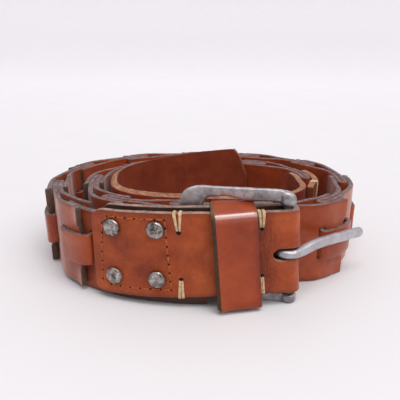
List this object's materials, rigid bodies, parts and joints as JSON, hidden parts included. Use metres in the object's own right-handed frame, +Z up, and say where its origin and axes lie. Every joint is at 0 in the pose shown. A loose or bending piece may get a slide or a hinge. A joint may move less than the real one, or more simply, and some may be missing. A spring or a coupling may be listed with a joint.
{
  "type": "belt",
  "caption": "Leather belt of folded links, coiled and stood on its edge, with a riveted strap end, a keeper and an open buckle frame and prong.",
  "frame": {"origin": "centre of the base of the bounding box, on the surface that the belt stands on", "axes": "+X along the coil's long side, to the right as seen from the buckle side; -Y towards the buckle side; +Z up, across the belt's width"},
  "size_m": [0.1666, 0.1298, 0.0548],
  "materials": {
    "strap_tan": "grained, waxed",
    "link_brown": "smooth, worn",
    "tail_brown": "dark, creased",
    "keeper_red": "glossy",
    "pewter": "mottled, aged",
    "prong_grey": "worn smooth"
  },
  "bodies": {
    "belt": {"chape": "strap_tan", "base_strap": "strap_tan", "link_01": "link_brown", "link_02": "link_brown", "link_03": "link_brown", "link_04": "link_brown", "link_05": "link_brown", "link_06": "link_brown", "link_07": "link_brown", "link_08": "link_brown", "link_09": "link_brown", "link_10": "link_brown", "link_11": "link_brown", "link_12": "link_brown", "link_13": "link_brown", "link_14": "link_brown", "link_15": "link_brown", "link_16": "link_brown", "tail_strap": "tail_brown", "keeper": "keeper_red", "rivet_1": "pewter", "rivet_2": "pewter", "rivet_3": "pewter", "rivet_4": "pewter"},
    "frame": {"buckle_frame": "pewter"},
    "prong": {"prong": "prong_grey"}
  },
  "joints": [
    {"name": "frame_hinge", "type": "hinge", "parent": "belt", "child": "frame", "pos_m": [0.03808, -0.0511, 0.0274], "axis": [0, 0, 1], "range_deg": [-3, 0.4]},
    {"name": "prong_hinge", "type": "hinge", "parent": "belt", "child": "prong", "pos_m": [0.03808, -0.0511, 0.0274], "axis": [0, 0, 1], "range_deg": [-130, 0]}
  ]
}
